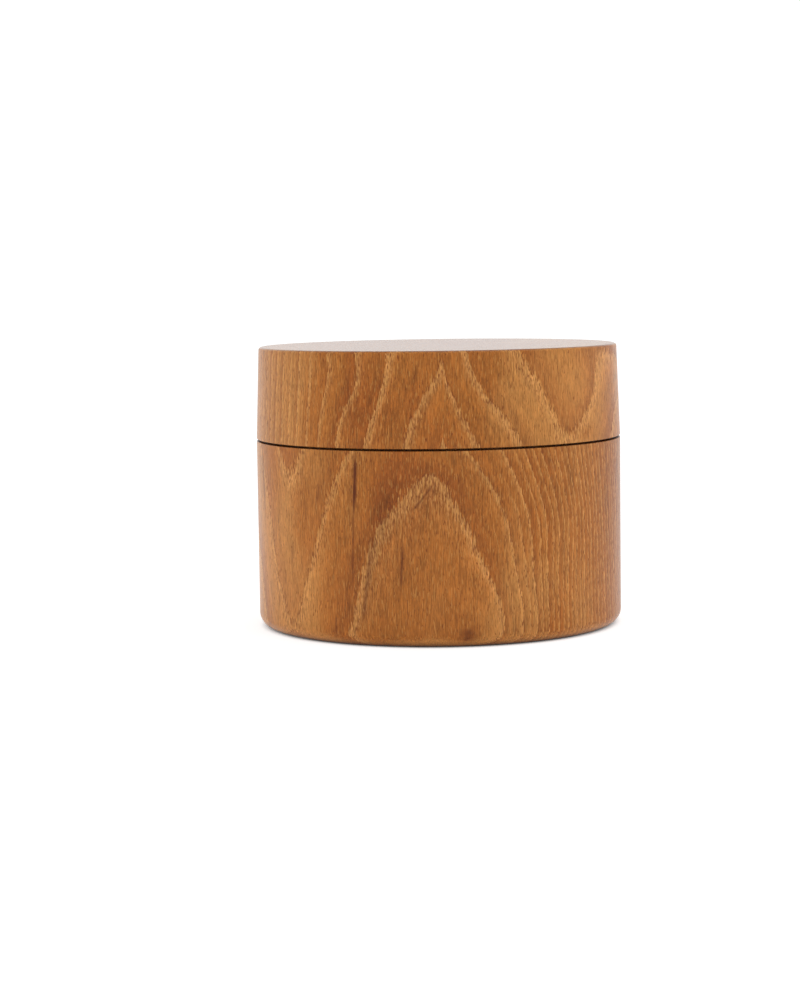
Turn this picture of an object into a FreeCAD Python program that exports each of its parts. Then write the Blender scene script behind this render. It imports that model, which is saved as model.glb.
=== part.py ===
import FreeCAD, Part
import math
import os

# A turned wooden storage jar: a hollow body with a neck, a cap lid that drops over the neck, and a finned seal ring.
# Millimetres, +Z up. The origin is the middle of the standing face, on the axis that every piece is turned about.

# Overall form of the closed jar
jar_diameter = 120.0
body_height = 61.3          # standing face to shoulder
lid_height = 30.1           # rim to top face
seam_gap = 0.6              # shadow line left open between the shoulder and the lid's rim
lid_lean = 1.1              # how far the lid's side leans in, on each side, from rim to top face

# Wood left standing after hollowing
wall_thickness = 9.0
base_thickness = 9.0
lid_top_thickness = 9.0

# Neck that carries the lid
neck_height = 10.0
neck_wall = 5.0
neck_clearance = 0.4        # radial play between the neck and the lid's bore

# Silicone ring with pointed fins, which lies in a groove half-way up the neck
seal_width = 4.0
seal_thickness = 1.6        # of the band that carries the fins
seal_proud = 0.3            # how far the fins stand out of the neck
fin_reach = 0.6             # how far the fins stand out of their band
fin_count = 2
seal_height_share = 0.5     # of the neck's height
seal_seat_clearance = 0.05  # between the ring and the floor of its groove
seal_side_clearance = 0.1   # between the ring and each side of its groove

# The foot is rounded, and the other edges are bevelled
foot_edge_radius = 4.5
lid_edge_bevel = 0.8
floor_bevel = 5.0
ceiling_bevel = 4.0
seam_bevel = 0.3
neck_bevel = 0.8
bore_bevel = 1.0

# Recessed underside, so that the jar stands on a ring and doesn't rock
foot_ring_width = 13.0
foot_recess_depth = 1.2

# Radii and heights worked out from the sizes above
outer_radius = jar_diameter / 2
lid_top_radius = outer_radius - lid_lean
inner_radius = outer_radius - wall_thickness
neck_radius = inner_radius + neck_wall
bore_radius = neck_radius + neck_clearance
neck_top = body_height + neck_height
lid_rim = body_height + seam_gap
lid_top = lid_rim + lid_height
lid_ceiling = lid_top - lid_top_thickness
seal_height = body_height + neck_height * seal_height_share
fin_radius = neck_radius + seal_proud
band_radius = fin_radius - fin_reach
seal_bore_radius = band_radius - seal_thickness
groove_radius = seal_bore_radius - seal_seat_clearance
groove_low = seal_height - seal_width / 2 - seal_side_clearance
groove_high = seal_height + seal_width / 2 + seal_side_clearance
foot_ring_radius = outer_radius - foot_ring_width


def at(radius, height):
    """The point of a profile at that radius and height."""
    return FreeCAD.Vector(radius, 0, height)


def corner_arc(before, corner, after, radius):
    """The arc of that radius that rounds a corner and touches both its sides."""
    back = (before - corner).normalize()
    ahead = (after - corner).normalize()
    half_angle = back.getAngle(ahead) / 2
    inwards = (back + ahead).normalize()
    reach = radius / math.tan(half_angle)
    crown = radius / math.sin(half_angle) - radius
    return Part.Arc(corner + back * reach, corner + inwards * crown, corner + ahead * reach)


def turned(profile):
    """The solid turned from a closed profile, whose corners are (radius, height) or (radius, height, rounding)."""
    corners = [at(radius, height) for radius, height, *_ in profile]
    following = corners[1:] + corners[:1]
    arcs = {}
    for i, (_, _, *rounding) in enumerate(profile):
        if rounding:
            arcs[i] = corner_arc(corners[i - 1], corners[i], following[i], rounding[0])
    edges = []
    for i, corner in enumerate(corners):
        before = (i or len(corners)) - 1
        start = arcs[before].EndPoint if before in arcs else corners[before]
        end = arcs[i].StartPoint if i in arcs else corner
        edges.append(Part.LineSegment(start, end).toShape())
        if i in arcs:
            edges.append(arcs[i].toShape())
    return Part.Face(Part.Wire(edges)).revolve(FreeCAD.Vector(0, 0, 0), FreeCAD.Vector(0, 0, 1), 360)


def jar_body():
    """The hollowed body: recessed foot, straight side, shoulder, and the neck with its groove for the seal."""
    return turned([
        (0, foot_recess_depth),
        (foot_ring_radius - foot_recess_depth, foot_recess_depth),
        (foot_ring_radius, 0),
        (outer_radius, 0, foot_edge_radius),
        (outer_radius, body_height - seam_bevel),
        (outer_radius - seam_bevel, body_height),
        (neck_radius, body_height),
        (neck_radius, groove_low),
        (groove_radius, groove_low),
        (groove_radius, groove_high),
        (neck_radius, groove_high),
        (neck_radius, neck_top - neck_bevel),
        (neck_radius - neck_bevel, neck_top),
        (inner_radius + neck_bevel, neck_top),
        (inner_radius, neck_top - neck_bevel),
        (inner_radius, base_thickness + floor_bevel),
        (inner_radius - floor_bevel, base_thickness),
        (0, base_thickness),
    ])


def lid():
    """The cap: a leaning side, a bore for the neck, the ledge that rests on the neck, and a hollow above it."""
    return turned([
        (0, lid_ceiling),
        (inner_radius - ceiling_bevel, lid_ceiling),
        (inner_radius, lid_ceiling - ceiling_bevel),
        (inner_radius, neck_top),
        (bore_radius, neck_top),
        (bore_radius, lid_rim + bore_bevel),
        (bore_radius + bore_bevel, lid_rim),
        (outer_radius - seam_bevel, lid_rim),
        (outer_radius, lid_rim + seam_bevel),
        (lid_top_radius, lid_top - lid_edge_bevel),
        (lid_top_radius - lid_edge_bevel, lid_top),
        (0, lid_top),
    ])


def seal_ring():
    """The silicone ring: a flat band that lies in the neck's groove, with fins that wipe the lid's bore."""
    band_low = seal_height - seal_width / 2
    fin_pitch = seal_width / fin_count
    profile = [(seal_bore_radius, band_low), (band_radius, band_low)]
    for i in range(fin_count):
        fin_low = band_low + fin_pitch * i
        profile += [(fin_radius, fin_low + fin_pitch / 2), (band_radius, fin_low + fin_pitch)]
    profile.append((seal_bore_radius, band_low + seal_width))
    return turned(profile)


def main():
    os.makedirs("parts", exist_ok=True)
    pieces = {"jar_body": jar_body(), "lid": lid(), "seal_ring": seal_ring()}
    for name, shape in pieces.items():
        shape.exportStep("parts/" + name + ".step")
        print(name, "valid:", shape.isValid(), "solids:", len(shape.Solids), "volume mm3:", round(shape.Volume))


main()
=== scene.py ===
import math
from types import SimpleNamespace

import bpy
from mathutils import Matrix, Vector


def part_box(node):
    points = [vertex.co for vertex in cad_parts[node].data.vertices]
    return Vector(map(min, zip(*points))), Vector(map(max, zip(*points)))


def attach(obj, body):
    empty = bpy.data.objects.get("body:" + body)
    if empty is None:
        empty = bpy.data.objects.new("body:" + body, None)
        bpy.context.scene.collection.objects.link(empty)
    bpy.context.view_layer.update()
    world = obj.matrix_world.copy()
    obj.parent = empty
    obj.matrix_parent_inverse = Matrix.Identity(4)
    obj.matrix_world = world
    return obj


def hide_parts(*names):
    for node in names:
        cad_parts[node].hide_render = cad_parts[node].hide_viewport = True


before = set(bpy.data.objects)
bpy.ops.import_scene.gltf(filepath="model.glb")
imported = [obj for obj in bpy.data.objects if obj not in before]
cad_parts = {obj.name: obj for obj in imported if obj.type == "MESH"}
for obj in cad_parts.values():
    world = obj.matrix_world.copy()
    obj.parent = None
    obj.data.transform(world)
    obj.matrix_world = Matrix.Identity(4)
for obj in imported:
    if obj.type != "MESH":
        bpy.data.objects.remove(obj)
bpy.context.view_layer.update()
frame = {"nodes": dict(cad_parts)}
print("frame loaded:", ", ".join(frame["nodes"]))

mmPerMetre = 1000.0  # sizes and grain are written in mm, and Blender counts in metres


def reachOf(node):
    # a turned node's radius and its lowest and highest points, in mm, to a thousandth
    low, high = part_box(node)
    radius, bottom, top = (round(part * mmPerMetre, 3) for part in (high.x, low.z, high.z))
    return SimpleNamespace(radius=radius, bottom=bottom, top=top)


jarReach = reachOf("jar_body")
lidReach = reachOf("lid")
sealReach = reachOf("seal_ring")


class Wire:
    # a socket of a node tree; sums on wires add Math nodes, and node() adds anything else
    def __init__(self, tree, socket=None):
        self.tree = tree
        self.socket = socket

    def node(self, kind, settings=None, inputs=None, out=0):
        made = self.tree.nodes.new(kind)
        for name, value in (settings or {}).items():
            if name == "choices":  # how many items an Index Switch holds
                while len(made.index_switch_items) < value:
                    made.index_switch_items.new()
            else:
                setattr(made, name, value)
        for key, value in (inputs or {}).items():
            if isinstance(value, Wire):
                self.tree.links.new(value.socket, made.inputs[key])
            else:
                made.inputs[key].default_value = value
        return Wire(self.tree, made.outputs[out] if made.outputs else None)  # the end of a tree has none

    def beside(self, out):
        # another output of the same node
        return Wire(self.tree, self.socket.node.outputs[out])

    def maths(self, operation, *values):
        return self.node("ShaderNodeMath", {"operation": operation}, dict(enumerate(values)))

    def __add__(self, other):
        return self.maths("ADD", self, other)

    def __radd__(self, other):
        return self.maths("ADD", other, self)

    def __sub__(self, other):
        return self.maths("SUBTRACT", self, other)

    def __rsub__(self, other):
        return self.maths("SUBTRACT", other, self)

    def __mul__(self, other):
        return self.maths("MULTIPLY", self, other)

    def __rmul__(self, other):
        return self.maths("MULTIPLY", other, self)

    def __truediv__(self, other):
        return self.maths("DIVIDE", self, other)

    def __neg__(self):
        return self.maths("MULTIPLY", self, -1.0)


def steps(value, low, high):
    # 0 on low's side, 1 on high's side, and a soft change between
    return value.node("ShaderNodeMapRange", {"interpolation_type": "SMOOTHSTEP"},
                      {"Value": value, "From Min": low, "From Max": high})


def hump(value, start, peak, end):
    # a soft rise from start to peak, and a soft fall from there to end
    return steps(value, start, peak) * (1 - steps(value, peak, end))


def noise(place, scale=1.0, detail=0.0, roughness=0.5):
    # Blender's noise lies about 0.5, and this lies about 0
    made = place.node("ShaderNodeTexNoise", {}, {"Vector": place, "Scale": scale, "Detail": detail,
                                                 "Roughness": roughness})
    return made - 0.5


def blend(share, first, second):
    # from the first colour to the second, through the colour sockets of a Mix node
    return share.node("ShaderNodeMix", {"data_type": "RGBA"}, {"Factor": share, 6: first, 7: second}, out=2)


def paint(red, green, blue):
    # a colour as seen on screen, 0 to 255, as the linear colour that shaders use
    def linear(part):
        part = part / 255
        return part / 12.92 if part <= 0.04045 else ((part + 0.055) / 1.055) ** 2.4
    return (linear(red), linear(green), linear(blue), 1.0)


def inMm(place):
    return place.node("ShaderNodeVectorMath", {"operation": "SCALE"}, {0: place, "Scale": mmPerMetre})


def emptyMaterial(name):
    material = bpy.data.materials.new(name)
    material.use_nodes = True
    material.node_tree.nodes.clear()
    return material


def eyeShare(wires):
    # 1 for what the eye sees straight, mirrored or through glass, and 0 for light that bounces about
    rays = wires.node("ShaderNodeLightPath", {}, {}, out="Is Camera Ray")
    share = wires.maths("MAXIMUM", rays, rays.beside("Is Glossy Ray"))
    return wires.maths("MAXIMUM", share, rays.beside("Is Transmission Ray"))


# camera: the photograph's own eye, a little above the jar and tipped down, with a slight roll
camera = {
    "place": (-0.01295, -0.8119, 0.1195), "tipDown": 0.0969, "roll": -0.0138,  # metres and radians
    "lens": 88.45, "sensor": 36.0,
}

eye = bpy.data.cameras.new("eye")
eye.sensor_fit = "VERTICAL"
eye.sensor_height = camera["sensor"]
eye.lens = camera["lens"]
eyeObject = bpy.data.objects.new("eye", eye)
bpy.context.collection.objects.link(eyeObject)
eyeObject.matrix_world = (Matrix.Translation(camera["place"])
                          @ Matrix.Rotation(math.pi / 2 - camera["tipDown"], 4, "X")
                          @ Matrix.Rotation(camera["roll"], 4, "Z"))
bpy.context.scene.camera = eyeObject
bpy.context.scene.view_settings.view_transform = "Standard"
print("camera set")


# lathe: turns a profile of (radius, height) or (radius, height, rounding) corners about the upright axis
# loopSpacing and mergeWithin are in metres, and sharpAngle is in radians
lathe = {"segments": 192, "filletPoints": 9, "loopSpacing": 0.003, "mergeWithin": 1e-6, "sharpAngle": 0.6}


def turned(name, sizes, profile, material, closed=False):
    tree = bpy.data.node_groups.new(name + "Lathe", "GeometryNodeTree")
    tree.interface.new_socket("Geometry", in_out="OUTPUT", socket_type="NodeSocketGeometry")
    entries = {}
    for key in sizes:
        entries[key] = tree.interface.new_socket(key, in_out="INPUT", socket_type="NodeSocketFloat")
    wires = Wire(tree)
    entry = wires.node("NodeGroupInput")
    corners = profile(SimpleNamespace(**{key: entry.beside(key) for key in sizes}))

    # one point for each corner, then rounded corners, then loops along the straight runs
    count = len(corners)
    index = wires.node("GeometryNodeInputIndex")
    places = {"Index": index}
    roundings = {"Index": index}
    for i, (radius, height, *rounding) in enumerate(corners):
        places[str(i)] = wires.node("ShaderNodeCombineXYZ", {}, {"X": radius, "Z": height})
        roundings[str(i)] = rounding[0] if rounding else 0.0
    place = wires.node("GeometryNodeIndexSwitch", {"data_type": "VECTOR", "choices": count}, places)
    rounding = wires.node("GeometryNodeIndexSwitch", {"data_type": "FLOAT", "choices": count}, roundings)
    line = wires.node("GeometryNodeMeshLine", {}, {"Count": count})
    line = wires.node("GeometryNodeMeshToCurve", {}, {"Mesh": line})
    line = wires.node("GeometryNodeSetPosition", {}, {"Geometry": line, "Position": place})
    line = wires.node("GeometryNodeSetSplineCyclic", {}, {"Geometry": line, "Cyclic": closed})
    filletPoints = wires.maths("GREATER_THAN", rounding, 0.0) * (lathe["filletPoints"] - 1) + 1
    line = wires.node("GeometryNodeFilletCurve", {"mode": "POLY"},
                      {"Curve": line, "Count": filletPoints, "Radius": rounding})
    position = wires.node("GeometryNodeInputPosition")
    ahead = wires.node("GeometryNodeFieldAtIndex", {"data_type": "FLOAT_VECTOR"},
                       {"Index": index + 1, "Value": position})
    run = wires.node("ShaderNodeVectorMath", {"operation": "DISTANCE"}, {0: position, 1: ahead}, out="Value")
    cuts = wires.maths("FLOOR", run / lathe["loopSpacing"])
    line = wires.node("GeometryNodeSubdivideCurve", {}, {"Curve": line, "Cuts": cuts})
    points = wires.node("GeometryNodeCurveToPoints", {"mode": "EVALUATED"}, {"Curve": line})
    pointCount = wires.node("GeometryNodeAttributeDomainSize", {"component": "POINTCLOUD"},
                            {"Geometry": points})

    # a sheet of points, a row for each place along the profile, wrapped round the axis to face outwards
    # the half keeps rounding errors of the row away from whole numbers
    around = lathe["segments"] + 1
    rows = pointCount + 1 if closed else pointCount
    sheet = wires.node("GeometryNodeMeshGrid", {}, {"Vertices X": rows, "Vertices Y": around})
    row = wires.maths("FLOOR", (index + 0.5) / around)
    turn = (row * around - index) * (2 * math.pi / lathe["segments"])
    wrapped = wires.maths("FLOORED_MODULO", row, pointCount)
    corner = wires.node("GeometryNodeSampleIndex", {"data_type": "FLOAT_VECTOR"},
                        {"Geometry": points, "Value": position, "Index": wrapped})
    radius = wires.node("ShaderNodeSeparateXYZ", {}, {"Vector": corner})
    height = radius.beside("Z")
    spot = wires.node("ShaderNodeCombineXYZ", {}, {"X": radius * wires.maths("COSINE", turn),
                                                   "Y": radius * wires.maths("SINE", turn), "Z": height})
    solid = wires.node("GeometryNodeSetPosition", {}, {"Geometry": sheet, "Position": spot})
    solid = wires.node("GeometryNodeMergeByDistance", {},
                       {"Geometry": solid, "Distance": lathe["mergeWithin"]})
    angle = wires.node("GeometryNodeInputMeshEdgeAngle")
    crisp = wires.maths("GREATER_THAN", angle, lathe["sharpAngle"])
    solid = wires.node("GeometryNodeSetShadeSmooth", {"domain": "FACE"}, {"Geometry": solid})
    solid = wires.node("GeometryNodeSetShadeSmooth", {"domain": "EDGE"},
                       {"Geometry": solid, "Selection": crisp, "Shade Smooth": False})
    solid = wires.node("GeometryNodeRealizeInstances", {}, {"Geometry": solid})
    solid = wires.node("GeometryNodeSetMaterial", {}, {"Geometry": solid, "Material": material})
    wires.node("NodeGroupOutput", {}, {"Geometry": solid})

    # the tree runs once on an empty mesh, and its result is kept as a plain mesh
    piece = bpy.data.objects.new(name, bpy.data.meshes.new(name + "Blank"))
    bpy.context.collection.objects.link(piece)
    modifier = piece.modifiers.new("lathe", "NODES")
    modifier.node_group = tree
    for key, value in sizes.items():
        modifier[entries[key].identifier] = value / mmPerMetre
    reading = bpy.context.evaluated_depsgraph_get()
    mesh = bpy.data.meshes.new_from_object(piece.evaluated_get(reading))
    piece.modifiers.clear()
    piece.data = mesh
    mesh.name = name
    print("turned", name, "faces:", len(mesh.polygons))
    return piece


# teak: growth rings about an upright pith outside the piece, cut by the turned surface; lengths in mm
teakFinish = {
    "earlywood": paint(206, 144, 82), "midwood": paint(172, 104, 43), "latewood": paint(140, 72, 26),
    "fleck": paint(218, 158, 86), "pore": paint(112, 50, 20), "markAndShade": paint(88, 34, 14),
    "red": paint(160, 82, 30), "gold": paint(188, 129, 68),
    "roughness": 0.32, "specular": 0.04, "poreDepth": 0.03,
    "coat": 0.22, "topCoat": 0.58, "coatRoughness": 0.14,
}
teakGrain = {
    # mottles: mm across the grain, mm along it, detail, and a shift that sets the pattern apart
    "drift": (14.0, 35.0, 0.0, 0.0), "feather": (0.7, 5.0, 2.0, 0.0), "cloud": (20.0, 45.0, 1.0, 0.0),
    "bead": (0.35, 1.5, 1.0, 17.0), "hair": (0.3, 5.0, 1.0, 0.0), "stripe": (2.2, 30.0, 0.0, 0.0),
    "fleck": (0.26, 2.6, 0.0, 5.0), "pore": (0.28, 1.6, 0.0, 11.0), "ripple": (0.4, 8.0, 0.0, 2.0),
    # how far the rings wander and fray, in rings
    "driftRings": 0.12, "featherRings": 0.26,
    # places within a ring, from 0 to 1: the earlywood and its tail, the latewood, and the fainter half ring
    "earlyRise": (0.0, 0.04), "earlyHold": 0.06, "reachSpread": 0.06,
    "tailFade": (0.08, 0.45), "tailShare": 0.3, "late": (0.5, 0.96, 1.0), "lateMost": 1.2,
    "halfEarly": (0.48, 0.53, 0.7), "halfLate": (0.3, 0.46, 0.5), "halfEdge": (0.44, 0.48, 0.52),
    # layers: how many to a ring, mm along the grain, how many to a radian, detail and roughness
    "layerRings": 7.0, "layerLength": 40.0, "layerTurn": 3.0, "layerDetail": 2.0, "layerRoughness": 0.7,
    # how much of each colour is mixed in, and over which range of the clouds
    "cloudShare": 0.6, "toneShare": 1.6, "goldRange": (-0.02, -0.22), "goldShare": 0.75,
    "redRange": (0.04, 0.25), "redShare": 0.5,
    "earlyShare": 0.5, "earlyLot": 0.22, "earlyBead": 3.0, "lateShare": 0.42,
    # light and shade along the grain, and the dark of end grain by how level the face lies
    "layerLight": 0.6, "hairLight": 1.2, "beadLight": 0.6, "stripeLight": 0.2,
    "endRange": (0.5, 0.95), "endDark": 0.5,
    # flecks and pores: the range where they start to show, and what brings them out
    "fleckRange": (0.14, 0.22), "fleckInEarly": 0.1, "fleckInFeather": 0.1,
    "fleckShare": 0.38, "fleckEarlyShare": 0.2,
    "poreRange": (0.195, 0.27), "poreInEarly": 0.12, "poreAtEdge": 0.24, "poreShare": 0.62,
    # marks and painted shade lines: raggedness and fade in mm, and the darkest that marks get
    "markFray": 0.7, "markMost": 0.9, "shadeLineFade": 1.0,
    # gloss and relief, and how far below a polished top its coat starts and is full
    "poreRough": 0.2, "featherRough": 0.12, "rippleRise": 0.25, "markSink": 0.5, "bump": 0.4,
    "topFade": (0.6, 0.1),
}


# a wood is part of its piece's dictionary:
# phase sets where a ring falls, and drop is the rings lost for each mm above middle
# flutes make the rings wavy and pointed, and bandReach is how much of a ring its earlywood takes
# swellings: rings gained, place, reach; ridges: rings gained, x, reach across, y, reach inwards
# marks: x, height, half width, half height, lean, strength
# lines all round, painted shade where the foot meets the floor and at the seam: height, half height, inner
# radius, strength
# clouds of tone, and painted light at the foot's edge and the far left side: x, height, half width, half
# height, lean, share of light gained
# halfRings: the x where a fainter ring starts to show in each ring, the x where it is full, its strength
# topFace: the height of a polished top, where the piece has one
def teak(name, wood):
    grain = teakGrain
    material = emptyMaterial(name)
    wires = Wire(material.node_tree)
    spot = wires.node("ShaderNodeTexCoord", {}, {}, out="Object")
    level = wires.node("ShaderNodeSeparateXYZ", {}, {0: spot.beside("Normal")}, out="Z")
    place = inMm(spot)
    x = wires.node("ShaderNodeSeparateXYZ", {}, {0: place})
    y = x.beside("Y")
    z = x.beside("Z")

    def mottle(kind):
        # soft random light and shade drawn out along the grain
        across, upright, detail, shift = grain[kind]
        squeeze = (1 / across, 1 / across, 1 / upright)
        drawn = wires.node("ShaderNodeVectorMath", {"operation": "MULTIPLY_ADD"},
                           {0: place, 1: squeeze, 2: (wood["seed"] + shift, shift, 0.0)})
        return noise(drawn, detail=detail)

    # rings counted outwards from the pith
    pithX, pithY = wood["pith"]
    reachX = x - pithX
    reachY = y - pithY
    reach = wires.maths("SQRT", reachX * reachX + reachY * reachY)
    bearing = wires.maths("ARCTAN2", reachX, -reachY)
    wave = wires.maths("COSINE", (bearing - wood["fluteTurn"]) * wood["flutes"]) * wood["flutePoint"]
    wave = wires.maths("ARCSINE", wave) * wood["fluteDepth"]
    rings = reach * (1 + wave) / wood["ringWidth"] + wood["phase"] - (z - wood["middle"]) * wood["drop"]
    for gain, centre, spread in wood["swellings"]:
        away = wires.node("ShaderNodeVectorMath", {"operation": "DISTANCE"}, {0: place, 1: centre},
                          out="Value") / spread
        rings = rings + wires.maths("EXPONENT", -(away * away)) * gain
    for gain, across, spread, front, depth in wood["ridges"]:
        inwards = (y - front) / depth
        aside = wires.maths("ABSOLUTE", x - across) / spread
        rings = rings + wires.maths("EXPONENT", -(inwards * inwards + aside)) * gain
    feather = mottle("feather")
    rings = rings + mottle("drift") * grain["driftRings"] + feather * grain["featherRings"]

    # each ring has its own lot of width and contrast
    count = wires.maths("FLOOR", rings)
    lot = wires.node("ShaderNodeTexWhiteNoise", {"noise_dimensions": "1D"}, {"W": count + wood["seed"]})
    phase = rings - count
    halfFrom, halfTo, halfStrength = wood["halfRings"]
    half = steps(x, halfFrom, halfTo) * halfStrength
    rise = steps(phase, *grain["earlyRise"])
    band = 1 - steps(phase, grain["earlyHold"], wood["bandReach"] + lot * grain["reachSpread"])
    tail = 1 - steps(phase, *grain["tailFade"])
    early = rise * (band * (1 - grain["tailShare"]) + tail * grain["tailShare"])
    early = early + half * hump(phase, *grain["halfEarly"])
    late = hump(phase, *grain["late"]) * (grain["lateMost"] - lot) + half * hump(phase, *grain["halfLate"])
    edge = (1 - rise) + steps(phase, *grain["late"][1:]) + half * hump(phase, *grain["halfEdge"])
    layer = wires.node("ShaderNodeCombineXYZ", {}, {
        "X": rings * grain["layerRings"], "Y": z / grain["layerLength"], "Z": bearing * grain["layerTurn"]})
    layer = noise(layer, detail=grain["layerDetail"], roughness=grain["layerRoughness"])

    # colour: gold and red clouds, painted light from the clouds list, light earlywood, reddish latewood,
    # streaks, dark end grain
    toneAndPaintedLight = 0.0
    # the clouds' tone: the wood's own light and dark, and painted light at the foot's edge and the far left
    # side
    for across, height, halfWidth, halfHeight, lean, gain in wood["cloudsAndPaintedLight"]:
        aside = (x - across - (z - height) * lean) / halfWidth
        up = (z - height) / halfHeight
        toneAndPaintedLight = wires.maths("EXPONENT", -(aside * aside + up * up)) * gain + toneAndPaintedLight
    cloud = mottle("cloud") * grain["cloudShare"] - toneAndPaintedLight * grain["toneShare"]
    bead = mottle("bead")
    gold = steps(cloud, *grain["goldRange"]) * grain["goldShare"]
    red = steps(cloud, *grain["redRange"]) * grain["redShare"]
    pale = early * (grain["earlyShare"] + lot * grain["earlyLot"]) * (1 + bead * grain["earlyBead"])
    colour = blend(gold, teakFinish["midwood"], teakFinish["gold"])
    colour = blend(red, colour, teakFinish["red"])
    colour = blend(pale, colour, teakFinish["earlywood"])
    colour = blend(late * grain["lateShare"], colour, teakFinish["latewood"])
    streak = 1 + layer * grain["layerLight"] + mottle("hair") * grain["hairLight"]
    streak = streak + bead * grain["beadLight"] + mottle("stripe") * grain["stripeLight"] + toneAndPaintedLight
    endGrain = steps(wires.maths("ABSOLUTE", level), *grain["endRange"])
    streak = streak * (1 - endGrain * grain["endDark"])
    colour = wires.node("ShaderNodeVectorMath", {"operation": "SCALE"}, {0: colour, "Scale": streak})

    # light flecks and dark pores, thickest in the earlywood
    fleck = mottle("fleck") + early * grain["fleckInEarly"] + feather * grain["fleckInFeather"]
    fleck = steps(fleck, *grain["fleckRange"]) * (grain["fleckShare"] + early * grain["fleckEarlyShare"])
    colour = blend(fleck, colour, teakFinish["fleck"])
    pore = mottle("pore") + early * grain["poreInEarly"] + edge * grain["poreAtEdge"]
    pore = steps(pore, *grain["poreRange"])
    colour = blend(pore * grain["poreShare"], colour, teakFinish["pore"])

    # dark marks on the side that faces the eye, and painted shade in lines all round, where the foot meets
    # the floor and at the seam
    marksAndShade = 0.0
    for across, height, halfWidth, halfHeight, lean, strength in wood["marks"]:
        aside = (x - across - (z - height) * lean + feather * grain["markFray"]) / halfWidth
        up = (z - height) / halfHeight
        marksAndShade = wires.maths("EXPONENT", -(aside * aside + up * up * up * up)) * strength + marksAndShade
    marksAndShade = wires.maths("MINIMUM", marksAndShade, grain["markMost"]) * wires.maths("LESS_THAN", y, 0.0)
    radius = wires.maths("SQRT", x * x + y * y)
    # each line is painted shade all round at one height, outside its inner radius
    for height, halfHeight, inner, strength in wood["shadeLines"]:
        up = (z - height) / halfHeight
        outside = steps(radius, inner, inner + grain["shadeLineFade"])
        line = wires.maths("EXPONENT", -(up * up * up * up)) * outside * strength
        marksAndShade = wires.maths("MAXIMUM", marksAndShade, line)
    colour = blend(marksAndShade, colour, teakFinish["markAndShade"])

    # gloss, relief and a thicker coat of oil on a polished top
    rough = teakFinish["roughness"] + pore * grain["poreRough"] + feather * grain["featherRough"]
    relief = mottle("ripple") * grain["rippleRise"] - pore - marksAndShade * grain["markSink"]
    bump = wires.node("ShaderNodeBump", {}, {"Height": relief, "Strength": grain["bump"],
                                             "Distance": teakFinish["poreDepth"] / mmPerMetre})
    coat = teakFinish["coat"]
    if "topFace" in wood:
        below, above = (wood["topFace"] - depth for depth in grain["topFade"])
        coat = coat + steps(z, below, above) * (teakFinish["topCoat"] - coat)
    shader = wires.node("ShaderNodeBsdfPrincipled", {}, {
        "Base Color": colour, "Roughness": rough, "Normal": bump, "Coat Weight": coat,
        "Specular IOR Level": teakFinish["specular"], "Coat Roughness": teakFinish["coatRoughness"]})
    wires.node("ShaderNodeOutputMaterial", {}, {"Surface": shader})
    return material


# silicone: milky, with soft clouds, clinging dust and the fine lines of its mould; lengths in mm
def silicone(name, finish):
    material = emptyMaterial(name)
    wires = Wire(material.node_tree)
    place = inMm(wires.node("ShaderNodeTexCoord", {}, {}, out="Object"))
    z = wires.node("ShaderNodeSeparateXYZ", {}, {0: place}, out="Z")
    cloud = noise(place, finish["cloudScale"], finish["cloudDetail"])
    grit = noise(place, finish["gritScale"], finish["gritDetail"])
    dust = steps(grit, *finish["dustRange"])
    colour = blend(steps(cloud, *finish["cloudRange"]), finish["milk"], finish["cloud"])
    colour = blend(dust * finish["dustShare"], colour, finish["dust"])
    line = wires.maths("SINE", z * (2 * math.pi / finish["mouldLine"]))
    relief = line * finish["lineShare"] + grit
    bump = wires.node("ShaderNodeBump", {}, {"Height": relief, "Strength": finish["bump"],
                                             "Distance": finish["lineDepth"] / mmPerMetre})
    rough = finish["roughness"] + dust * finish["dustRough"] + cloud * finish["cloudRough"]
    shader = wires.node("ShaderNodeBsdfPrincipled", {}, {
        "Base Color": colour, "Roughness": rough, "Normal": bump, "Specular IOR Level": finish["specular"]})
    wires.node("ShaderNodeOutputMaterial", {}, {"Surface": shader})
    return material


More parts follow.
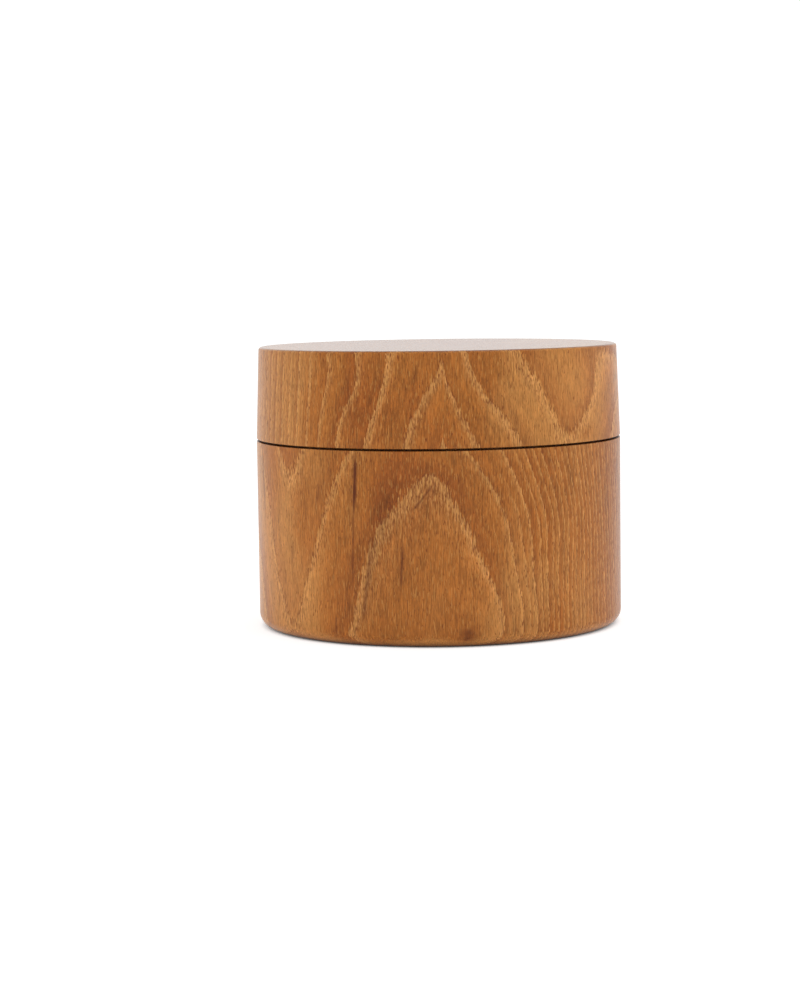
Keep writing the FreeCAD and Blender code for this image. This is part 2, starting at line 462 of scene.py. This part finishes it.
# jar: hollow body with its neck; lengths in mm, and the groove's heights are above the shoulder
jarPiece = {
    "sizes": {
        "outerRadius": jarReach.radius, "wall": 9.0, "floor": 9.0, "floorCove": 6.0,
        "neckTop": jarReach.top, "neckHeight": 10.0, "neckWall": 5.0, "neckEdge": 0.7,
        "grooveDepth": 1.95, "grooveLow": 2.9, "grooveHigh": 7.1,
        "footRingWidth": 13.0, "footRecess": 1.2, "footEdge": 4.5, "seamEdge": 0.35,
    },
    "wood": {
        "pith": (105.3, 73.5), "ringWidth": 5.0, "bandReach": 0.16, "seed": 3.0,
        "phase": -36.91, "drop": 0.0215, "middle": 46.0,
        "flutes": 7.0, "fluteDepth": 0.074, "fluteTurn": -0.5, "flutePoint": 0.96,
        "swellings": [
            (1.3, (19.0, -57.0, 6.0), 19.5), (1.3, (14.5, -58.5, 40.5), 30.5),
            (0.7, (37.5, -47.0, 38.5), 16.5), (0.22, (-3.0, -60.0, 53.0), 7.0),
            (-0.2, (-32.0, -50.8, 4.0), 12.0), (0.2, (-20.0, -56.6, 0.0), 10.0),
        ],
        "ridges": [],
        "marks": [
            (-26.9, 51.5, 0.5, 7.0, 0.03, 1.1), (-27.7, 35.0, 0.3, 14.0, 0.02, 0.65),  # the long crack
            (-38.6, 48.0, 0.5, 3.5, 0.1, 0.5), (-6.0, 46.8, 0.5, 4.0, 0.8, 0.6),
            (-2.6, 49.5, 0.3, 2.5, 0.25, 0.5), (-12.7, 25.0, 0.5, 6.5, 0.05, 0.75),
            (-23.4, 20.0, 0.7, 12.0, 0.12, 0.55), (-33.5, 6.0, 0.35, 4.0, 0.0, 0.5),
            (7.5, 4.0, 2.4, 2.2, 0.0, 0.65),  # the round dark spot at the foot
            (-57.0, 50.0, 0.3, 9.0, -0.03, 0.45), (-47.5, 27.0, 0.5, 4.0, 0.0, 0.3),
            (53.0, 42.0, 0.4, 2.6, 0.1, 0.4), (57.6, 52.0, 0.3, 4.0, 0.0, 0.4),
        ],
        "shadeLines": [(0.0, 0.45, 54.0, 0.85), (61.6, 0.36, 58.5, 0.85)],  # painted shade where the foot meets the floor, and at the seam
        "cloudsAndPaintedLight": [
            (-8.0, 56.0, 20.0, 14.0, 0.0, -0.1), (-17.3, 44.0, 3.0, 14.0, 0.22, -0.24),
            # painted light: the first cloud on the next line, at the far left, lightens the side the light
            # comes from
            (-57.0, 30.0, 13.0, 40.0, 0.0, 0.16), (-44.0, 12.0, 14.0, 24.0, 0.0, 0.12),
            (60.0, 34.0, 8.0, 36.0, 0.0, -0.14), (20.0, 18.0, 34.0, 24.0, 0.0, 0.07),
            (-17.0, 20.0, 9.0, 16.0, 0.2, -0.08), (0.0, 47.0, 10.0, 9.0, 0.0, -0.07),
            (45.0, 16.0, 12.0, 22.0, 0.0, 0.06),
            (0.0, 1.2, 400.0, 1.8, 0.0, 0.12),  # so wide that the foot's edge is lighter all round: painted light on the foot's rounding, which lies in shade
        ],
        "halfRings": (14.0, 30.0, 0.8),
    },
}


def jarProfile(size):
    inner = size.outerRadius - size.wall
    neck = inner + size.neckWall
    groove = neck - size.grooveDepth
    footRing = size.outerRadius - size.footRingWidth
    shoulder = size.neckTop - size.neckHeight
    grooveLow = shoulder + size.grooveLow
    grooveHigh = shoulder + size.grooveHigh
    return [
        (0.0, size.footRecess), (footRing - size.footRecess, size.footRecess), (footRing, 0.0),
        (size.outerRadius, 0.0, size.footEdge), (size.outerRadius, shoulder, size.seamEdge),
        (neck, shoulder), (neck, grooveLow), (groove, grooveLow), (groove, grooveHigh), (neck, grooveHigh),
        (neck, size.neckTop, size.neckEdge), (inner, size.neckTop, size.neckEdge),
        (inner, size.floor, size.floorCove), (0.0, size.floor),
    ]


jar = turned("turnedJar", jarPiece["sizes"], jarProfile, teak("bodyTeak", jarPiece["wood"]))
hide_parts("jar_body")
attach(jar, "jar")

# lid: cap with a leaning side, a bore over the neck and a hollow above the ledge; lengths in mm
lidPiece = {
    "sizes": {
        "rimRadius": lidReach.radius, "rim": lidReach.bottom, "top": lidReach.top, "ledge": jarReach.top,
        "lean": 1.1, "topEdge": 1.0, "seamEdge": 0.35, "skirt": 3.6, "boreEdge": 0.9,
        "wall": 9.0, "topThickness": 9.0, "ceilingCove": 5.0,
    },
    "wood": {
        "pith": (-32.4, 60.0), "ringWidth": 3.89, "bandReach": 0.24, "seed": 8.0,
        "phase": -33.23, "drop": 0.0038, "middle": 46.0,
        "flutes": 4.94, "fluteDepth": 0.0566, "fluteTurn": -0.062, "flutePoint": 0.96,
        "swellings": [
            (-1.1, (12.0, -59.0, 91.0), 22.0), (-0.5, (-29.0, -52.5, 84.0), 12.0),
            (3.6, (59.0, 7.5, 59.0), 27.0), (-0.4, (44.5, -39.0, 79.0), 10.0),
            (-0.14, (41.0, -43.0, 66.0), 8.0),
        ],
        "ridges": [(1.67, 0.6, 14.8, -60.0, 28.0)],  # the arch in the middle
        "marks": [(-28.2, 76.0, 0.4, 9.0, -0.1, 0.35), (-8.5, 78.0, 0.8, 8.0, 0.1, 0.25)],
        "shadeLines": [(61.65, 0.31, 58.5, 0.85)],  # painted shade at the seam
        "cloudsAndPaintedLight": [
            (46.0, 78.0, 20.0, 22.0, 0.0, 0.2), (-22.0, 76.0, 14.0, 18.0, 0.0, -0.06),
            # painted light: the first cloud on the next line, at the far left, lightens the side the light
            # comes from
            (-50.0, 76.0, 16.0, 30.0, 0.0, 0.12), (43.0, 65.5, 4.0, 3.0, 0.0, -0.2),
            (10.0, 74.0, 9.0, 24.0, 0.0, -0.05), (57.0, 76.0, 5.0, 30.0, 0.0, -0.08),
        ],
        "halfRings": (-30.0, -50.0, 0.4), "topFace": lidReach.top,
    },
}


def lidProfile(size):
    inner = size.rimRadius - size.wall
    bore = size.rimRadius - size.skirt
    ceiling = size.top - size.topThickness
    return [
        (0.0, ceiling), (inner, ceiling, size.ceilingCove), (inner, size.ledge), (bore, size.ledge),
        (bore, size.rim, size.boreEdge), (size.rimRadius, size.rim, size.seamEdge),
        (size.rimRadius - size.lean, size.top, size.topEdge), (0.0, size.top),
    ]


lid = turned("turnedLid", lidPiece["sizes"], lidProfile, teak("lidTeak", lidPiece["wood"]))
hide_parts("lid")
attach(lid, "cap")

# seal: silicone band with two pointed fins, in the neck's groove; lengths in mm
sealPiece = {
    "sizes": {
        "finRadius": sealReach.radius, "low": sealReach.bottom, "high": sealReach.top,
        "finReach": 0.6, "thickness": 1.6, "tip": 0.12,
    },
    "finish": {
        "milk": (0.78, 0.76, 0.70, 1.0), "cloud": (0.70, 0.67, 0.59, 1.0), "dust": (0.86, 0.85, 0.82, 1.0),
        "cloudScale": 0.12, "cloudDetail": 3.0, "cloudRange": (-0.1, 0.2), "cloudRough": 0.2,
        "gritScale": 2.6, "gritDetail": 1.0, "dustRange": (0.16, 0.24), "dustShare": 0.7, "dustRough": 0.25,
        "mouldLine": 0.25, "lineShare": 0.2, "lineDepth": 0.02, "bump": 0.4,
        "roughness": 0.42, "specular": 0.4,
    },
}


def sealProfile(size):
    band = size.finRadius - size.finReach
    bore = band - size.thickness
    pitch = (size.high - size.low) / 2  # from one fin to the other
    return [
        (bore, size.low), (band, size.low),
        (size.finRadius, size.low + pitch / 2, size.tip), (band, size.low + pitch),
        (size.finRadius, size.high - pitch / 2, size.tip), (band, size.high), (bore, size.high),
    ]


milkySilicone = silicone("milkySilicone", sealPiece["finish"])
seal = turned("sealRing", sealPiece["sizes"], sealProfile, milkySilicone, closed=True)
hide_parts("seal_ring")
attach(seal, "seal")
print("pieces ride on their bodies")

# floor: white in the picture, with a matt share that keeps the shadow, and no glow under the foot
floorLook = {
    "half": 4.0, "white": (0.9, 0.9, 0.9, 1.0), "matt": (0.45, 0.45, 0.45, 1.0), "glow": 0.7,
    "glowRange": (0.0555, 0.0605),  # radius in metres where the glow starts, and where it is full
}

floorMesh = bpy.data.meshes.new("floor")
half = floorLook["half"]
floorCorners = [(-half, -half, 0), (half, -half, 0), (half, half, 0), (-half, half, 0)]
floorMesh.from_pydata(floorCorners, [], [(0, 1, 2, 3)])
floorMaterial = emptyMaterial("paleFloor")
wires = Wire(floorMaterial.node_tree)
plain = wires.node("ShaderNodeBsdfDiffuse", {}, {"Color": floorLook["white"]})
matt = wires.node("ShaderNodeBsdfDiffuse", {}, {"Color": floorLook["matt"]})
glow = wires.node("ShaderNodeEmission", {}, {"Strength": floorLook["glow"]})
shown = wires.node("ShaderNodeAddShader", {}, {0: matt, 1: glow})
away = wires.node("ShaderNodeTexCoord", {}, {}, out="Object")
away = wires.node("ShaderNodeVectorMath", {"operation": "LENGTH"}, {0: away}, out="Value")
seen = eyeShare(wires) * steps(away, *floorLook["glowRange"])
floorShade = wires.node("ShaderNodeMixShader", {}, {0: seen, 1: plain, 2: shown})
wires.node("ShaderNodeOutputMaterial", {}, {"Surface": floorShade})
floorMesh.materials.append(floorMaterial)
floor = bpy.data.objects.new("floor", floorMesh)
bpy.context.collection.objects.link(floor)

# light: a white room, dimmer on the eye's side, and one soft lamp overhead
light = {
    "front": 0.665, "back": 1.1,
    "turnRange": (-0.9, 0.3),  # the direction's y where front starts to change, and where back is reached
    "lampPlace": (0.25, -0.1, 1.1), "lampSize": 0.8, "lampPower": 2.0, "aimHeight": 0.045,
}

room = bpy.data.worlds.new("whiteRoom")
bpy.context.scene.world = room
room.use_nodes = True
room.node_tree.nodes.clear()
wires = Wire(room.node_tree)
way = wires.node("ShaderNodeTexCoord", {}, {}, out="Generated")
way = wires.node("ShaderNodeSeparateXYZ", {}, {0: way}, out="Y")
level = steps(way, *light["turnRange"]) * (light["back"] - light["front"]) + light["front"]
level = wires.maths("MAXIMUM", level, eyeShare(wires))
roomGlow = wires.node("ShaderNodeBackground", {}, {"Color": (1, 1, 1, 1), "Strength": level})
wires.node("ShaderNodeOutputWorld", {}, {"Surface": roomGlow})

lamp = bpy.data.lights.new("softLamp", "AREA")
lamp.size = light["lampSize"]
lamp.energy = light["lampPower"]
lampObject = bpy.data.objects.new("softLamp", lamp)
bpy.context.collection.objects.link(lampObject)
lampObject.location = light["lampPlace"]
aim = -lampObject.location
aim.z += light["aimHeight"]
lampObject.rotation_euler = aim.to_track_quat("-Z", "Y").to_euler()
print("floor and light set")
